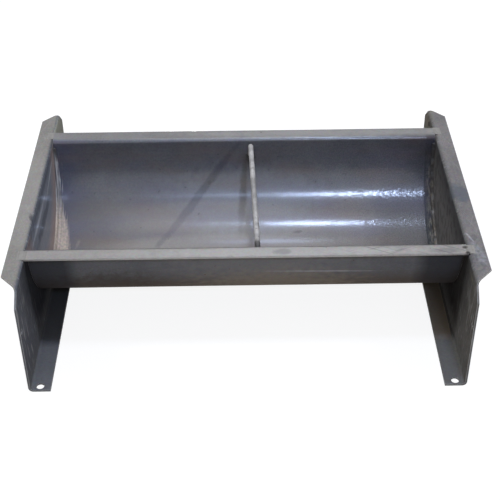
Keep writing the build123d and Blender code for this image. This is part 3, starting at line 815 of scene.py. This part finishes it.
for side, name in ((-1, "left_seam_weld"), (1, "right_seam_weld")):
    drops = []
    swing = -seam_swing
    while swing < seam_swing:
        reach = pan_radius - seam_sink + random.uniform(-seam_wobble, seam_wobble)
        out = pan_end - seam_sink + random.uniform(-seam_wobble, seam_wobble)
        spot = (side * out, reach * math.sin(swing), pan_axis - reach * math.cos(swing))
        wide = random.uniform(0.0029, 0.0034)
        high = random.uniform(0.0013, 0.0017)
        drops.append((spot, (swing, -side * math.pi / 4, 0), (wide, drop_length, high)))
        swing += random.uniform(0.0022, 0.0028) / pan_radius
    bead = weld_bead(name, drops, voxel=0.0006)
    bead.data.materials.append(weld_finish)
    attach(bead, "root")
    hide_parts(name)

# Divider welds
# Small rough welds that fix the rod's two ends to the pan's walls. Each is a ring of drops of the same weld
# metal, laid by hand round the rod and left as it set.
ring_drops = 9
ring_across = 0.0055
ring_along = 0.0075
ring_reach = pan_radius - 0.0012
ring_height = 0.0019
wall_turn = math.atan2(rod_end_y, pan_axis - rod_axis + rod_drop)
for side, name in ((-1, "front_divider_weld"), (1, "rear_divider_weld")):
    end_x = rod_x - side * rod_end_y * math.tan(rod_skew)
    drops = []
    for count in range(ring_drops):
        round_rod = 2 * math.pi * count / ring_drops + random.uniform(-0.2, 0.2)
        swing = wall_turn + ring_along * math.sin(round_rod) / pan_radius
        spot = (
            end_x + ring_across * math.cos(round_rod),
            side * ring_reach * math.sin(swing),
            pan_axis - ring_reach * math.cos(swing),
        )
        size = random.uniform(0.0024, 0.0032)
        drops.append((spot, (side * swing, 0, 0), (size, size, ring_height)))
    bead = weld_bead(name, drops, voxel=0.0005)
    bead.data.materials.append(weld_finish)
    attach(bead, "root")
    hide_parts(name)

# Rim welds
# Short beads that fill the groove between each end of a rim and the end plate's top bend. The left two are
# ground flush. The right two are dressed less and still have pits, two in the front one and one in the rear.
lump_length = 0.0021
lump_sink = 0.0004
grinder_size = 0.06

# Weld steel as a grinding wheel leaves it: paler than the laid beads, with dull patches, and black slag in
# the pits at the right. Its streaks run one way, and are drawn 1.5 mm wide so that they show.
ground_finish, tree, shader, place = new_material("ground_weld_steel")
x, y, z = node(tree, "SeparateXYZ", {0: place})
wheel = node(
    tree, "Mapping",
    {"Vector": place, "Rotation": (0, 0, 0.5), "Scale": (1 / 0.0015, 1 / 0.02, 1 / 0.0015)},
)[0]
marks = node(tree, "TexNoise", {"Vector": wheel, "Scale": 1.0, "Detail": 3.0})[0]
patches = node(tree, "TexNoise", {"Vector": place, "Scale": 1 / 0.006, "Detail": 3.0})[0]
ground = node(tree, "MixRGB", {"Fac": marks, "Color1": colour("#8b8883"), "Color2": colour("#b0aca6")})[0]
tint = node(tree, "MapRange", {"Value": patches, "From Min": 0.5, "From Max": 0.7, "To Max": 0.6})[0]
ground = node(tree, "MixRGB", {"Fac": tint, "Color1": ground, "Color2": colour("#8f8b83")})[0]
slag = node(tree, "MapRange", {"Value": z, "From Min": rim_top - 0.0004, "From Max": rim_top - 0.0012})[0]
right_hand = node(tree, "Math", {0: x, 1: 0.0}, operation="GREATER_THAN")[0]
slag = node(tree, "Math", {0: slag, 1: right_hand}, operation="MULTIPLY")[0]
ground = node(tree, "MixRGB", {"Fac": slag, "Color1": ground, "Color2": colour("#2b2826")})[0]
ragged = ragged_edge(tree, place)
for slag_x, slag_y in ((0.3015, -0.1515), (0.3035, -0.1645)):
    centre = (slag_x, slag_y, rim_top)
    slag = mark(tree, place, ragged, centre, (0.0048, 0.0042, 0.02), strength=0.8)
    ground = node(tree, "MixRGB", {"Fac": slag, "Color1": ground, "Color2": colour("#2b2826")})[0]
shine = node(tree, "MapRange", {"Value": marks, "To Min": 0.38, "To Max": 0.55})[0]
bump = node(tree, "Bump", {"Strength": 0.3, "Distance": 0.0001, "Height": marks})[0]
plug_in(tree, shader, {
    "Base Color": ground, "Roughness": shine, "Normal": bump, "Specular IOR Level": 0.1,
})

for name, ground_to, wide, pits in (
    ("front_left_rim_weld", 0.00006, 0.0, ()),
    ("front_right_rim_weld", 0.00065, 0.006, ((0.3042, -0.1516, 0.0016), (0.3046, -0.1648, 0.0013))),
    ("rear_left_rim_weld", 0.00006, 0.0, ()),
    ("rear_right_rim_weld", 0.0003, 0.005, ((0.3040, 0.1475, 0.0014),)),
):
    weld_low, weld_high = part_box(name)
    middle_x = (weld_low.x + weld_high.x) / 2
    middle_y = (weld_low.y + weld_high.y) / 2
    drops = []
    run = weld_low.y + 0.002
    while wide and run < weld_high.y - 0.001:
        spot = (middle_x + random.uniform(-0.0006, 0.0006), run, rim_top - lump_sink)
        lump_width = wide * random.uniform(0.93, 1.07)
        lump_height = random.uniform(0.0010, 0.0013)
        drops.append((spot, (0, 0, 0), (lump_width, lump_length, lump_height)))
        run += random.uniform(0.0023, 0.0029)
    bead = weld_bead(name, drops, voxel=0.0005)
    grinder = start_piece("grinder", bpy.ops.mesh.primitive_cube_add, size=grinder_size)
    bpy.ops.transform.translate(value=(middle_x, middle_y, rim_top + ground_to + grinder_size / 2))
    bpy.ops.object.mode_set(mode="OBJECT")
    apply_modifier(bead, "BOOLEAN", operation="DIFFERENCE", object=grinder, solver="EXACT")
    bpy.data.objects.remove(grinder)
    for pit_x, pit_y, pit_radius in pits:
        pit = start_piece("pit", bpy.ops.mesh.primitive_ico_sphere_add, subdivisions=3, radius=pit_radius)
        bpy.ops.transform.translate(value=(pit_x, pit_y, rim_top))
        bpy.ops.object.mode_set(mode="OBJECT")
        apply_modifier(bead, "BOOLEAN", operation="DIFFERENCE", object=pit, solver="EXACT")
        bpy.data.objects.remove(pit)
    bpy.ops.object.shade_smooth_by_angle(angle=math.radians(40))
    bead.data.materials.append(ground_finish)
    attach(bead, "root")
    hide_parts(name)

# Floor
# A plain studio floor, a hair below the feet and too wide to show an edge. It is white to the eye and in the
# steel, and keeps the trough's soft shadow. To the light that it would throw back up it is darker, as a floor
# is that falls away round a small set.
floor_width = 200
floor_drop = 0.0003
floor = start_piece("floor", bpy.ops.mesh.primitive_plane_add, size=floor_width)
bpy.ops.transform.translate(value=(0, 0, -floor_drop))
bpy.ops.object.mode_set(mode="OBJECT")
floor_finish, tree, shader, place = new_material("matt_white_studio_floor")
tree.nodes.remove(shader)
path = node(tree, "LightPath", {})
seen = node(tree, "Math", {0: path["Is Camera Ray"], 1: path["Is Glossy Ray"]}, operation="MAXIMUM")[0]
seen = node(tree, "Math", {0: seen, 1: path["Is Transmission Ray"]}, operation="MAXIMUM")[0]
shade = node(tree, "BsdfDiffuse", {"Color": (0.22, 0.22, 0.22, 1)})[0]
glow = node(tree, "Emission", {"Color": (1, 1, 1, 1), "Strength": 0.88})[0]
white = node(tree, "AddShader", {0: shade, 1: glow})[0]
grey = node(tree, "BsdfDiffuse", {"Color": colour("#a1978c")})[0]
surface = node(tree, "MixShader", {0: seen, 1: grey, 2: white})[0]
plug_in(tree, tree.nodes["Material Output"], {"Surface": surface})
floor.data.materials.append(floor_finish)

# Studio light
# A soft dome that glows overhead, behind and ahead; slim lamps high above, whose reflections are the bright
# lines along the inside of the pan; two broad soft boxes; a long lamp at each side; and low fills for the
# outer faces. The lamps themselves are hidden from the camera.
world = bpy.data.worlds.new("soft_dome")
bpy.context.scene.world = world
world.use_nodes = True
tree = world.node_tree
toward = node(tree, "TexCoord", {})["Generated"]
_, y, z = node(tree, "SeparateXYZ", {0: toward})
up = node(tree, "Math", {0: z, 1: 0.0}, operation="MAXIMUM")[0]
high = node(tree, "Math", {0: up, 1: 1.5}, operation="POWER")[0]
overhead = node(tree, "Math", {0: up, 1: 5.0}, operation="POWER")[0]
behind = node(tree, "Math", {0: y, 1: 0.0}, operation="MAXIMUM")[0]
behind = node(tree, "Math", {0: behind, 1: 0.4, 2: 0.15}, operation="MULTIPLY_ADD")[0]
level = node(tree, "Math", {0: high, 1: behind}, operation="MULTIPLY")[0]
level = node(tree, "Math", {0: overhead, 1: 0.3, 2: level}, operation="MULTIPLY_ADD")[0]
ahead = node(tree, "Math", {0: y, 1: 0.0}, operation="MINIMUM")[0]
ahead = node(tree, "Math", {0: ahead, 1: 6.0}, operation="POWER")[0]
low = node(tree, "Math", {0: up, 1: 0.8}, operation="POWER")[0]
ahead = node(tree, "Math", {0: ahead, 1: low}, operation="MULTIPLY")[0]
level = node(tree, "Math", {0: ahead, 1: 2.5, 2: level}, operation="MULTIPLY_ADD")[0]
plug_in(tree, tree.nodes["Background"], {"Color": colour("#fffdfa"), "Strength": level})
lit_spot = Vector((0, 0, 0.1))
for name, spot, length, width, power, shade in (
    ("front_lamp", (1.10, -6.50, 6.0), 0.9, 0.28, 98.0, "#c4d8ff"),
    ("front_strip", (0.85, -6.50, 6.0), 3.2, 0.36, 27.0, "#c4d8ff"),
    ("top_lamp", (0.54, -1.03, 6.0), 0.62, 0.25, 45.0, "#c4d8ff"),
    ("top_strip", (0.35, -1.03, 6.0), 1.6, 0.28, 6.5, "#c4d8ff"),
    ("rear_lamp", (0.20, 1.55, 6.0), 0.60, 0.60, 9.0, "#c4d8ff"),
    ("front_box", (-0.10, -1.6, 6.0), 1.4, 6.0, 32.0, "#ffffff"),
    ("rear_box", (-0.20, 2.6, 6.0), 1.8, 4.6, 40.0, "#ffffff"),
    ("left_row", (-5.0, -0.7, 6.0), 0.6, 2.0, 110.0, "#ffffff"),
    ("right_row", (5.0, -0.7, 6.0), 0.6, 2.0, 110.0, "#ffffff"),
    ("left_fill", (-4.0, 0.0, 0.1), 0.4, 0.1, 70.0, "#ffffff"),
    ("right_fill", (4.0, 0.0, 0.1), 0.4, 0.1, 70.0, "#ffffff"),
    ("rear_fill", (0.0, 4.0, 0.1), 2.4, 0.1, 90.0, "#ffffff"),
):
    lamp = bpy.data.lights.new(name, "AREA")
    lamp.shape = "ELLIPSE"
    lamp.size = length
    lamp.size_y = width
    lamp.energy = power
    lamp.color = colour(shade)[:3]
    holder = bpy.data.objects.new(name, lamp)
    bpy.context.scene.collection.objects.link(holder)
    holder.location = spot
    holder.visible_camera = False
    aim = lit_spot - Vector(spot)
    holder.rotation_euler = aim.to_track_quat("-Z", "Y").to_euler()
bpy.context.scene.view_settings.view_transform = "Standard"

# Camera
# Where the photograph was taken from: in front of the middle, well above the trough, turned a little. The
# place, the angles and the focal length were fitted to the corners and holes that show in it.
eye = (-0.00403, -1.3398, 1.08312)
focal_pixels = 1085.95
photo_pixels = 500
pitch = math.radians(37.44)
yaw = math.radians(0.45)
roll = math.radians(-0.52)
lens = bpy.data.cameras.new("photo_camera")
lens.sensor_width = 36
lens.lens = focal_pixels / photo_pixels * lens.sensor_width
camera = bpy.data.objects.new("photo_camera", lens)
bpy.context.scene.collection.objects.link(camera)
aim = Vector((math.sin(yaw) * math.cos(pitch), math.cos(yaw) * math.cos(pitch), -math.sin(pitch)))
right = Vector((math.cos(yaw), -math.sin(yaw), 0))
up = right.cross(aim)
across = math.cos(roll) * right + math.sin(roll) * up
upward = math.cos(roll) * up - math.sin(roll) * right
turn = Matrix((across, upward, -aim)).transposed().to_4x4()
camera.matrix_world = Matrix.Translation(eye) @ turn
bpy.context.scene.camera = camera
